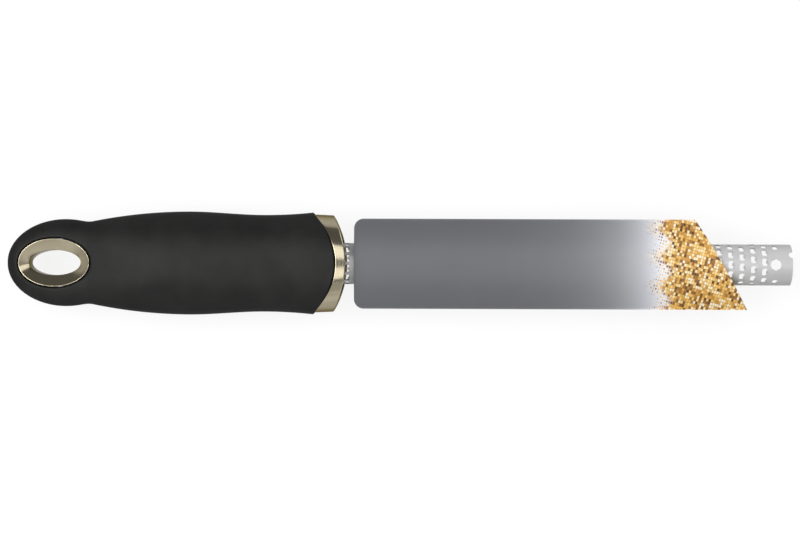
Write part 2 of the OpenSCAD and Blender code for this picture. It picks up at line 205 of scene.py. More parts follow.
@dataclass(frozen=True)
class ToolFrame:
    """Where the tool lies in the frame of the solids, in millimetres."""

    length: float
    edge_height: float

    def place(self, points: Array) -> Array:
        """Moves points from stations and heights of the tool into the frame, in metres."""
        return (points + np.array([-self.length / 2, 0, self.edge_height])) * MM

    def piece(self, name: str, points: Array, quads: Array, sharp_deg: float) -> bpy.types.Object:
        """Makes one closed object of points and quads.

        Args:
            name: Name of the object.
            points: Points in the tool's own millimetres.
            quads: Point numbers of each face.
            sharp_deg: Edges that turn by more than this stay sharp.

        Returns:
            The object, at the origin, with welded points and outward faces.
        """
        mesh = bpy.data.meshes.new(name)
        mesh.from_pydata(self.place(points).tolist(), [], quads.tolist())
        work = bmesh.new()
        work.from_mesh(mesh)
        bmesh.ops.remove_doubles(work, verts=work.verts, dist=WELD)
        bmesh.ops.dissolve_degenerate(work, edges=work.edges, dist=WELD)
        bmesh.ops.recalc_face_normals(work, faces=work.faces)
        work.to_mesh(mesh)
        work.free()
        mesh.shade_smooth()
        mesh.set_sharp_from_angle(angle=math.radians(sharp_deg))
        made = bpy.data.objects.new(name, mesh)
        bpy.context.scene.collection.objects.link(made)
        return made


class Shell:
    """Grids and strips that are gathered into one mesh."""

    def __init__(self) -> None:
        """Starts with no points."""
        self.points: list[Array] = []
        self.quads: list[Array] = []
        self.count = 0

    def add(self, points: Array, quads: Array) -> None:
        """Adds points with their quads, numbered from the first of these points."""
        flat = points.reshape(-1, 3)
        self.points.append(flat)
        self.quads.append(quads + self.count)
        self.count += len(flat)

    def grid(self, points: Array) -> None:
        """Adds the quads of a grid of points."""
        self.add(points, grid_quads(np.arange(points.shape[0] * points.shape[1]).reshape(points.shape[:2])))

    def strip(self, one: Array, other: Array) -> None:
        """Adds a strip of quads between two lines of as many points."""
        self.grid(np.stack([one, other]))

    def mesh(self) -> tuple[Array, Array]:
        """All points and all quads."""
        return np.vstack(self.points), np.vstack(self.quads)


class Field:
    """A number on a shader socket. Python's operators add Math nodes."""

    def __init__(self, shader: "Shader", socket: bpy.types.NodeSocket) -> None:
        """Wraps a socket of a shader."""
        self.shader = shader
        self.socket = socket

    def math(self, operation: str, *operands: "Field | float") -> "Field":
        """A Math node on these operands, as a field."""
        made = self.shader.node("ShaderNodeMath", {"operation": operation}, dict(enumerate(operands)))
        return Field(self.shader, made.outputs[0])

    def __add__(self, other: "Field | float") -> "Field":
        """Sum."""
        return self.math("ADD", self, other)

    __radd__ = __add__

    def __sub__(self, other: "Field | float") -> "Field":
        """Difference."""
        return self.math("SUBTRACT", self, other)

    def __rsub__(self, other: "Field | float") -> "Field":
        """Difference, reflected."""
        return self.math("SUBTRACT", other, self)

    def __mul__(self, other: "Field | float") -> "Field":
        """Product."""
        return self.math("MULTIPLY", self, other)

    __rmul__ = __mul__

    def __truediv__(self, other: "Field | float") -> "Field":
        """Quotient."""
        return self.math("DIVIDE", self, other)

    def __pow__(self, other: "Field | float") -> "Field":
        """Power."""
        return self.math("POWER", self, other)

    def at_least(self, other: "Field | float") -> "Field":
        """The larger of the two."""
        return self.math("MAXIMUM", self, other)

    def at_most(self, other: "Field | float") -> "Field":
        """The smaller of the two."""
        return self.math("MINIMUM", self, other)

    def clamp(self) -> "Field":
        """Held between 0 and 1."""
        return self.at_least(0.0).at_most(1.0)

    def step(self, start: float, stop: float) -> "Field":
        """Straight rise from 0 at start to 1 at stop, held outside."""
        return ((self - start) / (stop - start)).clamp()

    def swing(self, size: float) -> "Field":
        """Noise about 0 instead of its middle, times a size."""
        return size * (self - NOISE_MIDDLE)


class Shader:
    """A node tree that is written as expressions."""

    def __init__(self, tree: bpy.types.NodeTree) -> None:
        """Empties the tree.

        Args:
            tree: Node tree of a material or of the world.
        """
        self.tree = tree
        self.tree.nodes.clear()

    @classmethod
    def of_material(cls, name: str) -> tuple["Shader", bpy.types.Material]:
        """Makes a new material.

        Args:
            name: Name of the material.

        Returns:
            The shader that fills it, and the material.
        """
        material = bpy.data.materials.new(name)
        material.use_nodes = True
        return cls(material.node_tree), material

    def node(
        self, kind: str, settings: dict[str, Any] | None = None, sockets: dict[Any, Any] | None = None
    ) -> bpy.types.Node:
        """Adds any node.

        Args:
            kind: Type of the node.
            settings: Its properties, which are set first. The entry stops holds a ramp's places
                and colours.
            sockets: Values, fields or sockets for its inputs, by name or number.

        Returns:
            The node.
        """
        made = self.tree.nodes.new(kind)
        for name, value in (settings or {}).items():
            if name == "stops":
                self._set_stops(made.color_ramp, value)
            else:
                setattr(made, name, value)
        for key, value in (sockets or {}).items():
            source = value.socket if isinstance(value, Field) else value
            if isinstance(source, bpy.types.NodeSocket):
                self.tree.links.new(source, made.inputs[key])
            else:
                made.inputs[key].default_value = source
        return made

    @staticmethod
    def _set_stops(ramp: bpy.types.ColorRamp, stops: Stops) -> None:
        """Writes a ramp's stops.

        Args:
            ramp: The ramp of a node.
            stops: Places and colours, in order.
        """
        while len(ramp.elements) < len(stops):
            ramp.elements.new(1.0)
        for element, (place, colour) in zip(ramp.elements, stops):
            element.position = place
            element.color = (*colour, 1.0)

    def field(self, socket: bpy.types.NodeSocket) -> Field:
        """A socket as a field."""
        return Field(self, socket)

    def spot(self) -> bpy.types.NodeSocket:
        """Object coordinates, in metres."""
        return self.node("ShaderNodeTexCoord").outputs["Object"]

    def axes(self) -> tuple[Field, Field, Field]:
        """Object coordinates, split.

        Returns:
            The three coordinates as fields, in millimetres.
        """
        split = self.node("ShaderNodeSeparateXYZ", None, {0: self.spot()})
        x, y, z = (self.field(out) / MM for out in split.outputs)
        return x, y, z

    def stretched(self, scale: Vector3, turn: Vector3 = (0.0, 0.0, 0.0)) -> bpy.types.NodeSocket:
        """Object coordinates, turned and then scaled by axis.

        Args:
            scale: Factors along the three axes.
            turn: Angles about the three axes, in radians.

        Returns:
            The coordinates' socket.
        """
        sockets = {"Vector": self.spot(), "Rotation": turn}
        turned = self.node("ShaderNodeMapping", {"vector_type": "POINT"}, sockets).outputs[0]
        return self.node("ShaderNodeMapping", None, {"Vector": turned, "Scale": scale}).outputs[0]

    def noise(self, grain: Vector3, detail: float = 2.0, roughness: float = 0.5) -> Field:
        """Cloud noise around its middle, 0.5.

        Args:
            grain: Sizes of the grains along the three axes, in millimetres.
            detail: How many finer layers it has.
            roughness: How much the finer layers count.

        Returns:
            The noise as a field.
        """
        where = self.stretched(tuple(1 / (MM * g) for g in grain))
        sockets = {"Vector": where, "Scale": 1.0, "Detail": detail, "Roughness": roughness}
        return self.field(self.node("ShaderNodeTexNoise", None, sockets).outputs[0])

    def mix(self, factor: Field, one: Any, other: Any) -> bpy.types.NodeSocket:
        """Colour between two colours.

        Args:
            factor: 0 for the first colour and 1 for the second.
            one: First colour, or its socket.
            other: Second colour, or its socket.

        Returns:
            The colour's socket.
        """
        ends = [(*c, 1.0) if isinstance(c, tuple) else c for c in (one, other)]
        sockets = {0: factor, 6: ends[0], 7: ends[1]}
        return self.node("ShaderNodeMix", {"data_type": "RGBA"}, sockets).outputs[2]

    def ramp(self, factor: Field, stops: Stops) -> bpy.types.NodeSocket:
        """Colour from a ramp."""
        return self.node("ShaderNodeValToRGB", {"stops": stops}, {0: factor}).outputs[0]

    def grey(self, value: Field, tint: Colour) -> bpy.types.NodeSocket:
        """A field as a grey with a tint: the field times each part of it."""
        parts = {k: value * share for k, share in enumerate(tint)}
        return self.node("ShaderNodeCombineColor", None, parts).outputs[0]

    def bump(self, height: Field, depth_mm: float) -> bpy.types.NodeSocket:
        """Normal of a relief whose heights from 0 to 1 are depth_mm apart."""
        sockets = {"Strength": 1.0, "Distance": depth_mm * MM, "Height": height}
        return self.node("ShaderNodeBump", None, sockets).outputs[0]

    def seen_rays(self) -> Field:
        """Picks the rays that show the background.

        Returns:
            1 for rays from the camera, from reflections and through glass, and 0 for the others.
        """
        path = self.node("ShaderNodeLightPath").outputs
        seen, glossy = self.field(path["Is Camera Ray"]), self.field(path["Is Glossy Ray"])
        return seen.at_least(glossy).at_least(self.field(path["Is Transmission Ray"]))

    def surface(self, **sockets: Any) -> None:
        """Ends the tree in a Principled BSDF.

        Args:
            sockets: Values, fields or sockets by socket name, with underscores for its spaces.
        """
        named = {
            name.replace("_", " "): (*value, 1.0) if isinstance(value, tuple) else value
            for name, value in sockets.items()
        }
        self.output(self.node("ShaderNodeBsdfPrincipled", None, named).outputs[0])

    def output(self, shader: bpy.types.NodeSocket, kind: str = "ShaderNodeOutputMaterial") -> None:
        """Links a shader to the tree's output."""
        self.node(kind, None, {"Surface": shader})


@dataclass(frozen=True)
class SoftTouch:
    """Matte charcoal overmould: fine moulded grain, faint clouds in the colour and in the sheen.

    A share of metal with a dark edge gives the broad sheen of a rubbed coating, which does not turn pale
    where the surface falls away.
    """

    name: str = "soft_touch_charcoal"
    dark: Colour = (0.0248, 0.0248, 0.0244)
    light: Colour = (0.0328, 0.0328, 0.0322)
    cloud_mm: float = 9.0
    grain_mm: float = 0.30
    grain_depth_mm: float = 0.012
    roughness: float = 0.57
    roughness_swing: float = 0.12
    grain_swing: float = 0.1
    metal: float = 0.7
    edge_tint: Colour = (0.5, 0.5, 0.5)
    gloss_level: float = 0.015

    def material(self) -> bpy.types.Material:
        """The finish as a material.

        Returns:
            The material, with its nodes.
        """
        shader, material = Shader.of_material(self.name)
        clouds = shader.noise((self.cloud_mm,) * 3, detail=3.0)
        grain = shader.noise((self.grain_mm,) * 3, detail=1.0)
        rough = self.roughness + clouds.swing(self.roughness_swing)
        shader.surface(
            Base_Color=shader.mix(clouds.step(*NOISE_SPAN), self.dark, self.light),
            Metallic=self.metal,
            Roughness=rough + grain.swing(self.grain_swing),
            Specular_IOR_Level=self.gloss_level,
            Specular_Tint=self.edge_tint,
            Normal=shader.bump(grain, self.grain_depth_mm),
        )
        return material


@dataclass(frozen=True)
class MouldedPlastic:
    """Black moulded plastic with a shallow spark-eroded texture."""

    name: str = "moulded_black"
    dark: Colour = (0.014, 0.014, 0.014)
    light: Colour = (0.022, 0.022, 0.022)
    grain_mm: float = 0.22
    grain_depth_mm: float = 0.01
    roughness: float = 0.42
    roughness_rise: float = 0.16

    def material(self) -> bpy.types.Material:
        """The finish as a material.

        Returns:
            The material, with its nodes.
        """
        shader, material = Shader.of_material(self.name)
        grain = shader.noise((self.grain_mm,) * 3)
        shader.surface(
            Base_Color=shader.mix(grain, self.dark, self.light),
            Roughness=self.roughness + self.roughness_rise * grain,
            Normal=shader.bump(grain, self.grain_depth_mm),
        )
        return material


@dataclass(frozen=True)
class BronzePlating:
    """Polished warm plating with a little orange peel and hairline wear."""

    name: str = "bronze_plating"
    deep: Colour = (0.315, 0.28, 0.20)
    bright: Colour = (0.365, 0.324, 0.232)
    peel_mm: float = 1.8
    peel_depth_mm: float = 0.006
    hair_mm: Vector3 = (0.08, 2.5, 2.5)
    hair_span: tuple[float, float] = (0.45, 0.75)
    hair_rise: float = 0.1
    roughness: float = 0.14
    edge_tint: Colour = (0.30, 0.27, 0.21)

    def material(self) -> bpy.types.Material:
        """The finish as a material.

        Returns:
            The material, with its nodes.
        """
        shader, material = Shader.of_material(self.name)
        peel = shader.noise((self.peel_mm,) * 3)
        hairs = shader.noise(self.hair_mm, detail=3.0)
        shader.surface(
            Base_Color=shader.mix(peel, self.deep, self.bright),
            Metallic=1.0,
            Specular_Tint=self.edge_tint,
            Roughness=self.roughness + self.hair_rise * hairs.step(*self.hair_span),
            Normal=shader.bump(peel, self.peel_depth_mm),
        )
        return material


@dataclass(frozen=True)
class SatinSteel:
    """Etched stainless sheet: soft lines along the tool and a cloudy satin."""

    name: str = "satin_steel"
    deep: Colour = (0.50, 0.50, 0.50)
    bright: Colour = (0.56, 0.56, 0.56)
    line_mm: Vector3 = (14.0, 0.12, 0.12)
    line_depth_mm: float = 0.006
    line_share: float = 0.6
    line_rise: float = 0.06
    cloud_mm: Vector3 = (6.0, 3.0, 3.0)
    cloud_rise: float = 0.12
    metal: float = 0.35
    roughness: float = 0.46

    def material(self) -> bpy.types.Material:
        """The finish as a material.

        Returns:
            The material, with its nodes.
        """
        shader, material = Shader.of_material(self.name)
        lines = shader.noise(self.line_mm, detail=3.0)
        clouds = shader.noise(self.cloud_mm)
        tone = lines * self.line_share + clouds * (1 - self.line_share)
        shader.surface(
            Base_Color=shader.mix(tone.step(*NOISE_SPAN), self.deep, self.bright),
            Metallic=self.metal,
            Roughness=self.roughness + self.cloud_rise * clouds + self.line_rise * lines,
            Normal=shader.bump(lines, self.line_depth_mm),
        )
        return material


@dataclass(frozen=True)
class PlainSheet:
    """Grey satin sheet with a fine calendered grain, as on the back of the sleeve."""

    name: str = "plain_grey_sheet"
    level: float = 0.395
    tint: Colour = (0.98, 1.0, 1.07)
    cloud_mm: float = 12.0
    cloud_swing: float = 0.02
    grain_mm: float = 0.4
    grain_depth_mm: float = 0.006
    grain_swing: float = 0.1
    roughness: float = 0.42
    gloss_level: float = 0.35

    def material(self) -> bpy.types.Material:
        """The finish as a material.

        Returns:
            The material, with its nodes.
        """
        shader, material = Shader.of_material(self.name)
        self.fill(shader, shader.grey(self.ground(shader) ** DISPLAY_POWER, self.tint))
        return material

    def ground(self, shader: Shader) -> Field:
        """Grey level of the sheet, with faint clouds, as a display value."""
        return self.level + shader.noise((self.cloud_mm,) * 3).swing(self.cloud_swing)

    def fill(self, shader: Shader, colour: bpy.types.NodeSocket) -> None:
        """Ends the tree with the sheet's gloss and grain under a colour.

        Args:
            shader: The shader to end.
            colour: Socket of the colour.
        """
        grain = shader.noise((self.grain_mm,) * 3)
        shader.surface(
            Base_Color=colour,
            Roughness=self.roughness + grain.swing(self.grain_swing),
            Specular_IOR_Level=self.gloss_level,
            Normal=shader.bump(grain, self.grain_depth_mm),
        )


@dataclass(frozen=True)
class PrintedSheet(PlainSheet):
    """The plain sheet with a printed far end: a pale glow, then a field of small gold lozenges.

    The lozenges lie in straight rows askew to the slanted cut. They fill the sheet near it and shrink
    away towards the handle along a wavy edge, and each takes one of a few spice colours.
    """

    name: str = "printed_sheet"
    cut_slope: float = -0.58
    glow_x: float = 83.6
    glow_run: float = 12.5
    glow_level: float = 0.65
    glow_most: float = 0.93
    edge_x: float = 84.0
    edge_run: float = 9.0
    wave: float = 1.6
    wave_mm: float = 9.0
    pitch: float = 0.75
    stretch: float = 0.8
    askew: float = math.pi / 4
    scatter: float = 0.1
    fullness: float = 0.48
    softness: float = 0.07
    gap_start: float = 0.75
    gap_colour: Colour = (0.38, 0.20, 0.06)
    spices: Stops = (
        (0.0, (0.07, 0.028, 0.008)),
        (0.17, (0.32, 0.140, 0.028)),
        (0.35, (0.68, 0.345, 0.060)),
        (0.55, (0.88, 0.525, 0.120)),
        (0.75, (0.95, 0.715, 0.310)),
        (1.0, (0.96, 0.880, 0.680)),
    )

    def material(self) -> bpy.types.Material:
        """The finish as a material.

        Returns:
            The material, with its nodes.
        """
        shader, material = Shader.of_material(self.name)
        x, y, _ = shader.axes()
        glow = ((x - self.glow_x) / self.glow_run).at_most(0.0)
        glow = glow.math("EXPONENT", glow)
        level = (self.ground(shader) + self.glow_level * glow).at_most(self.glow_most)
        paper = shader.grey(level**DISPLAY_POWER, self.tint)
        per_metre = 1 / (MM * self.pitch)
        turn = (0.0, 0.0, math.atan(self.cut_slope) + self.askew)
        lattice = shader.stretched((per_metre, self.stretch * per_metre, 1.0), turn)
        sockets = {"Vector": lattice, "Scale": 1.0, "Randomness": self.scatter}
        cells = shader.node(
            "ShaderNodeTexVoronoi", {"voronoi_dimensions": "2D", "distance": "CHEBYCHEV"}, sockets
        )
        near, pick = shader.field(cells.outputs["Distance"]), cells.outputs["Color"]
        chance = shader.field(shader.node("ShaderNodeSeparateColor", None, {0: pick}).outputs[0])
        spice = shader.ramp(chance, self.spices)
        phase = y * (2 * math.pi / self.wave_mm)
        inside = (x + self.wave * phase.math("SINE", phase)).step(self.edge_x - self.edge_run, self.edge_x)
        lozenge = ((self.fullness * inside - near) / self.softness).clamp()
        tint = shader.mix(inside.step(self.gap_start, 1.0), paper, self.gap_colour)
        self.fill(shader, shader.mix(lozenge, tint, spice))
        return material


@dataclass(frozen=True)
class HandleOutline:
    """Outline of the handle: a loop head that runs into a body with a belly, a waist and a flare."""

    handle_len: float = 105.6
    ferrule_len: float = 3.4
    head_len: float = 36.4
    head_w: float = 27.2
    head_h: float = 14.6
    neck_run: float = 6.8
    neck_w: float = 25.3
    neck_h: float = 15.2
    neck_blend: float = 1.0
    belly_run: float = 32.0
    belly_w: float = 32.2
    belly_h: float = 27.0
    waist_run: float = 23.0
    waist_w: float = 30.2
    waist_h: float = 25.2
    flare_w: float = 31.9
    flare_h: float = 26.6
    grip_bow: float = 6.7
    plan_power: float = 2.0
    side_power: float = 3.0
    head_section: float = 3.0
    body_section: float = 2.3

    @property
    def head_mid(self) -> float:
        """Station of the head's middle."""
        return self.head_len / 2

    @property
    def belly_x(self) -> float:
        """Station of the widest place."""
        return self.head_mid + self.neck_run + self.belly_run

    @property
    def waist_x(self) -> float:
        """Station of the waist."""
        return self.belly_x + self.waist_run

    @property
    def grip_end(self) -> float:
        """Station of the grip's front edge, along the top."""
        return self.handle_len - self.ferrule_len

    @property
    def flare_x(self) -> float:
        """Station of the grip's front edge, at the sides."""
        return self.grip_end - self.grip_bow

    def half_size(self, s: Array, t: Array | float, power: float, sizes: tuple[float, ...]) -> Array:
        """Half-width or half-height at station s on a skin t under the surface.

        The head is a superellipse along the tool. The body is a parabola from the neck to the belly, a
        smooth step to the waist and a parabola to the flare. The larger of the two counts.

        Args:
            s: Stations.
            t: Depth of the skin.
            power: Power of the head's superellipse.
            sizes: Full sizes of the head, neck, belly, waist and flare.

        Returns:
            The half-sizes.
        """
        head, neck, belly, waist, flare = sizes
        u = np.minimum(1, np.abs(s - self.head_mid) / (self.head_mid - t))
        loop = (head / 2 - t) * (1 - u**power) ** (1 / power)
        x = np.minimum(s, self.flare_x)
        rise = belly / 2 - (belly - neck) / 2 * ((self.belly_x - x) / self.belly_run) ** 2
        fall = belly / 2 + (waist - belly) / 2 * ease((x - self.belly_x) / self.waist_run)
        out = waist / 2 + (flare - waist) / 2 * ((x - self.waist_x) / (self.flare_x - self.waist_x)) ** 2
        body = np.where(x < self.belly_x, rise, np.where(x < self.waist_x, fall, out)) - t
        return np.where(s < self.head_mid, loop, soft_max(loop, body, self.neck_blend))

    def half_w(self, s: Array, t: Array | float = 0.0) -> Array:
        """Half-width at station s on a skin t under the surface."""
        sizes = (self.head_w, self.neck_w, self.belly_w, self.waist_w, self.flare_w)
        return self.half_size(s, t, self.plan_power, sizes)

    def half_h(self, s: Array, t: Array | float = 0.0) -> Array:
        """Half-height at station s on a skin t under the surface."""
        sizes = (self.head_h, self.neck_h, self.belly_h, self.waist_h, self.flare_h)
        return self.half_size(s, t, self.side_power, sizes)

    def section(self, s: Array) -> Array:
        """Power of the rounded cross section at station s, fuller in the head than in the body."""
        return self.head_section + (self.body_section - self.head_section) * ease(
            (s - self.head_mid) / self.belly_run
        )

    def surface_z(self, s: Array, y: Array, t: float) -> Array:
        """Height of the skin t under the surface over the point s, y: the superellipse solved for z."""
        n = self.section(s)
        return self.half_h(s, t) * (1 - np.minimum(1, np.abs(y) / self.half_w(s, t)) ** n) ** (1 / n)

    def bow(self, s: Array) -> Array:
        """How far a ring bows back at its sides: none up to the waist, all at the front edge."""
        return self.grip_bow * ease((s - self.waist_x) / (self.grip_end - self.waist_x))

    def skin(self, s: Array, angle: Array, t: Array | float = 0.0) -> Array:
        """Points of the skin t under the surface, on stations s and ring angles in radians.

        With p = 2 / section power: y is the half-width times cos to the power p, z the half-height times
        sin to the power p, and the ring bows back by its bow times the square of that cosine term.

        Args:
            s: Stations.
            angle: Ring angles, from the side up.
            t: Depth of the skin.

        Returns:
            The points.
        """
        p = 2 / self.section(s)
        c, h = signed_power(np.cos(angle), p), signed_power(np.sin(angle), p)
        at = s - self.bow(s) * c * c
        return np.stack([at, self.half_w(at, t) * c, self.half_h(at, t) * h], axis=-1)


@dataclass(frozen=True)
class Eyelet:
    """Sizes of the plated oval that lines the loop."""

    margin: float = 4.1
    length: float = 22.2
    width: float = 14.8
    loop_length: float = 16.4
    loop_width: float = 7.8
    rim_flat: float = 0.15
    rim_round: float = 0.06
    throat_round: float = 0.2
    rim_sink: float = 0.2
    groove: float = 0.4
    funnel_depth: float = 2.2
    points: int = 192
    arc_steps: int = 7

    @property
    def middle(self) -> float:
        """Station of the oval's middle."""
        return self.margin + self.length / 2

    def oval(self, inward: Array) -> Array:
        """Ellipses round the loop, whose half-axes are blends of the rim's and the hole's.

        Args:
            inward: Share of the hole in each blend, from 0 at the rim to 1 at the hole.

        Returns:
            Stations and widths, one row of points for each share.
        """
        angle = np.linspace(0, 2 * math.pi, self.points + 1)
        share = inward[:, None]
        a = self.length / 2 * (1 - share) + self.loop_length / 2 * share
        b = self.width / 2 * (1 - share) + self.loop_width / 2 * share
        return np.stack([self.middle + a * np.cos(angle), b * np.sin(angle)], axis=-1)


@dataclass(frozen=True)
class Handle:
    """Soft grip, plated eyelet rings and plated ferrule."""

    tool: ToolFrame
    outline: HandleOutline = HandleOutline()
    eyelet: Eyelet = Eyelet()
    grip_t: float = 2.4
    loop_round: float = 0.55
    front_round: float = 0.45
    ring_columns: int = 65
    stations: tuple[int, int, int] = (30, 80, 130)
    nose_bow: float = 3.7
    ferrule_step: float = 0.6
    ferrule_taper: float = 0.3
    ferrule_round: float = 0.5
    ferrule_points: int = 256
    arc_steps: int = 9
    fit_gap: float = 0.1

    def build(self) -> list[bpy.types.Object]:
        """Makes and dresses the handle's pieces.

        Returns:
            The grip, the ferrule and the two eyelet rings.
        """
        trim = BronzePlating().material()
        return [
            attach(self.grip(), SoftTouch().material(), Body.HANDLE, "grip"),
            attach(self.ferrule(), trim, Body.HANDLE, "ferrule"),
            attach(self.eyelet_ring("eyelet_front_ring", 1), trim, Body.HANDLE, "eyelet_front"),
            attach(self.eyelet_ring("eyelet_rear_ring", -1), trim, Body.HANDLE, "eyelet_rear"),
        ]

    def grip(self) -> bpy.types.Object:
        """Soft overmould with its oval loop.

        Each half is a grid of stations by ring angles that starts and ends on the edge of the oval: an
        edge point at half-width y has the angle acos((y / half-width) ^ (power / 2)). The edges of the
        oval and of the front are rounded over, and the inner skin follows with the same grid.

        Returns:
            The piece.
        """
        form, ring = self.outline, self.eyelet
        long, wide = ring.length / 2 + ring.groove, ring.width / 2 + ring.groove
        left, right = ring.middle - long, ring.middle + long
        behind, beside, ahead = self.stations
        parts = [
            cosine_steps(0, left, behind),
            cosine_steps(left, right, beside)[1:],
            cosine_steps(right, form.grip_end, ahead)[1:],
        ]
        s = np.concatenate(parts)
        inside = np.clip(1 - ((s - ring.middle) / long) ** 2, 0, None)
        edge = np.where((s > left) & (s < right), wide * np.sqrt(inside), 0)
        share = cosine_steps(1, -1, self.ring_columns)[None, :]
        front_inset = round_over(form.grip_end - s, self.front_round)[:, None]
        deep = np.where(s < left, self.grip_t + s * (left - self.grip_t) / left, s)
        outer = form.skin(s[:, None], self.edge_angle(s, edge, 0.0) * share, front_inset)
        inner = form.skin(deep[:, None], self.edge_angle(deep, edge, self.grip_t) * share, self.grip_t)
        away = np.hypot((outer[..., 0] - ring.middle) / long, outer[..., 1] / wide)
        slope = np.hypot((outer[..., 0] - ring.middle) / long**2, outer[..., 1] / wide**2)
        gap = np.clip((away - 1) * away / np.maximum(slope, TINY), 0, None)
        outer[..., 2] -= np.sign(outer[..., 2]) * round_over(gap, self.loop_round)
        loop = slice(len(parts[0]) - 1, len(parts[0]) + len(parts[1]))
        shell = Shell()
        for mirror in (np.array([1, 1, 1]), np.array([1, -1, 1])):
            shell.grid(outer * mirror)
            shell.grid(inner * mirror)
            shell.strip(outer[loop, 0] * mirror, inner[loop, 0] * mirror)
            shell.strip(outer[loop, -1] * mirror, inner[loop, -1] * mirror)
            shell.strip(outer[-1] * mirror, inner[-1] * mirror)
        return self.tool.piece("grip_skin", *shell.mesh(), sharp_deg=40)

    def edge_angle(self, s: Array, edge: Array, t: float) -> Array:
        """Ring angles of an edge on a skin, by the formula of the grip.

        Args:
            s: Stations.
            edge: Half-widths of the edge at the stations.
            t: Depth of the skin.

        Returns:
            The angles as a column.
        """
        wide = np.maximum(self.outline.half_w(s, t), TINY)
        cosine = np.minimum(1, edge / wide) ** (self.outline.section(s) / 2)
        return np.arccos(cosine)[:, None]

    def eyelet_ring(self, name: str, up: int) -> bpy.types.Object:
        """Funnel ring: a profile of inward run and drop from the rim, carried round the oval.

        The outer wall rises from the split plane to the grip's surface, less the sink. The rim is rounded
        on both sides, and a straight slope runs down to the upright hole, which ends on the split plane.

        Args:
            name: Name of the piece.
            up: 1 for the ring on the toothed side, -1 for the one on the far side.

        Returns:
            The piece.
        """
        ring = self.eyelet
        wall = (ring.length - ring.loop_length) / 2
        depth = ring.funnel_depth
        corners = [
            (0, 2 * depth, 0),
            (0, 0, ring.rim_round),
            (ring.rim_flat, 0, ring.rim_round),
            (wall, depth, ring.throat_round),
            (wall, 2 * depth, 0),
        ]
        inward, drop = rounded_path(corners, ring.arc_steps).T
        plan = ring.oval(inward / wall)
        height = self.outline.surface_z(plan[0, :, 0], plan[0, :, 1], ring.rim_sink) - drop[:, None]
        height[[0, -1]] = 0
        grid = np.concatenate([plan, up * height[..., None]], axis=-1)
        shell = Shell()
        shell.grid(grid)
        shell.strip(grid[-1], grid[0])
        return self.tool.piece(name, *shell.mesh(), sharp_deg=50)

    def ferrule(self) -> bpy.types.Object:
        """Plated collar: a profile of station and inset, carried round the flare's cross section.

        A ring at inset t has the flare's half-sizes less t, and bows back at its sides by a share that
        runs from the grip's bow at the rear rim to the nose's bow at the front rim.

        Returns:
            The piece.
        """
        form = self.outline
        back, front = form.grip_end + self.fit_gap, form.handle_len
        corners = [
            (back, self.grip_t, 0),
            (back, self.ferrule_step, self.ferrule_round),
            (front, self.ferrule_step + self.ferrule_taper, self.ferrule_round),
            (front, self.grip_t, 0),
        ]
        path = rounded_path(corners, self.arc_steps)
        at, inset = path[:, :1], path[:, 1:]
        flare = np.array(form.flare_x)
        angle = np.linspace(0, 2 * math.pi, self.ferrule_points + 1)
        p = 2 / float(form.section(flare))
        c, h = signed_power(np.cos(angle), p), signed_power(np.sin(angle), p)
        bow = form.grip_bow + (self.nose_bow - form.grip_bow) * ease((at - back) / (front - back))
        y, z = form.half_w(flare, inset) * c, form.half_h(flare, inset) * h
        grid = np.stack([at - bow * c * c, y, z], axis=-1)
        shell = Shell()
        shell.grid(grid)
        shell.strip(grid[-1], grid[0])
        return self.tool.piece("ferrule_collar", *shell.mesh(), sharp_deg=50)


